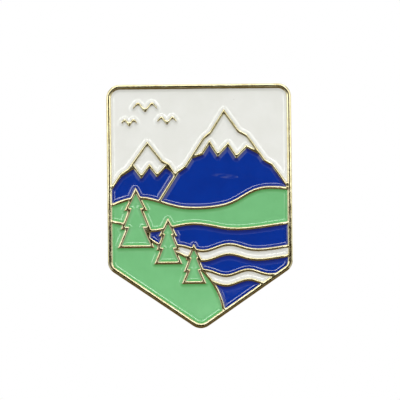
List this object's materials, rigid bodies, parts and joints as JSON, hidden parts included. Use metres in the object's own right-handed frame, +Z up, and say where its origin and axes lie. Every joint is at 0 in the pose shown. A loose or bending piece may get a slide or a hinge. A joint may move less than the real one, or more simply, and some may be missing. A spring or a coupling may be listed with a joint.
{
  "type": "enamel pin",
  "caption": "Upright lapel pin: a pentagonal gold plated badge with sunk enamel cells in a landscape, on posts held by butterfly clutches.",
  "frame": {"origin": "on the flat back of the badge, midway between the two posts", "axes": "+Y out of the badge's back along the posts, into the garment; +Z up, towards the badge's top edge; the face looks along -Y"},
  "size_m": [0.0288, 0.0101, 0.0382],
  "materials": {
    "plated_gold": "polished gold plate on struck metal",
    "enamel_white": "baked soft enamel, glossy",
    "enamel_blue": "baked soft enamel, glossy",
    "enamel_green": "baked soft enamel, glossy",
    "clutch_brass": "bright pressed sheet"
  },
  "bodies": {
    "badge": {"badge_plate": "plated_gold", "enamel_sky": "enamel_white", "enamel_left_mountain": "enamel_blue", "enamel_left_snow": "enamel_white", "enamel_main_mountain": "enamel_blue", "enamel_main_snow": "enamel_white", "enamel_hill": "enamel_green", "enamel_lake_far": "enamel_blue", "enamel_wave_upper": "enamel_white", "enamel_lake_middle": "enamel_blue", "enamel_wave_lower": "enamel_white", "enamel_lake_near": "enamel_blue", "enamel_bank": "enamel_green", "enamel_pine_left": "enamel_green", "enamel_pine_middle": "enamel_green", "enamel_pine_right": "enamel_green", "post_left": "plated_gold", "post_right": "plated_gold"},
    "clutch_left": {"clutch_left_cup": "clutch_brass", "clutch_left_spring_plate": "clutch_brass"},
    "clutch_left_wing_upper": {"clutch_left_wing_upper": "clutch_brass"},
    "clutch_left_wing_lower": {"clutch_left_wing_lower": "clutch_brass"},
    "clutch_right": {"clutch_right_cup": "clutch_brass", "clutch_right_spring_plate": "clutch_brass"},
    "clutch_right_wing_upper": {"clutch_right_wing_upper": "clutch_brass"},
    "clutch_right_wing_lower": {"clutch_right_wing_lower": "clutch_brass"}
  },
  "joints": [
    {"name": "clutch_left_slide", "type": "slide", "parent": "badge", "child": "clutch_left", "axis": [0, 1, 0], "range_m": [-0.0018, 0.008]},
    {"name": "clutch_left_wing_upper_squeeze", "type": "hinge", "parent": "clutch_left", "child": "clutch_left_wing_upper", "pos_m": [-0.008, 0.0046, 0.004], "axis": [-1, 0, 0], "range_deg": [0, 14], "stiffness_Nm_per_rad": 0.02},
    {"name": "clutch_left_wing_lower_squeeze", "type": "hinge", "parent": "clutch_left", "child": "clutch_left_wing_lower", "pos_m": [-0.008, 0.0046, -0.004], "axis": [1, 0, 0], "range_deg": [0, 14], "stiffness_Nm_per_rad": 0.02},
    {"name": "clutch_right_slide", "type": "slide", "parent": "badge", "child": "clutch_right", "axis": [0, 1, 0], "range_m": [-0.0018, 0.008]},
    {"name": "clutch_right_wing_upper_squeeze", "type": "hinge", "parent": "clutch_right", "child": "clutch_right_wing_upper", "pos_m": [0.008, 0.0046, 0.004], "axis": [-1, 0, 0], "range_deg": [0, 14], "stiffness_Nm_per_rad": 0.02},
    {"name": "clutch_right_wing_lower_squeeze", "type": "hinge", "parent": "clutch_right", "child": "clutch_right_wing_lower", "pos_m": [0.008, 0.0046, -0.004], "axis": [1, 0, 0], "range_deg": [0, 14], "stiffness_Nm_per_rad": 0.02}
  ],
  "couplings": [
    {"joint": "clutch_left_wing_lower_squeeze", "follows": "clutch_left_wing_upper_squeeze", "ratio": 1},
    {"joint": "clutch_right_wing_lower_squeeze", "follows": "clutch_right_wing_upper_squeeze", "ratio": 1}
  ]
}
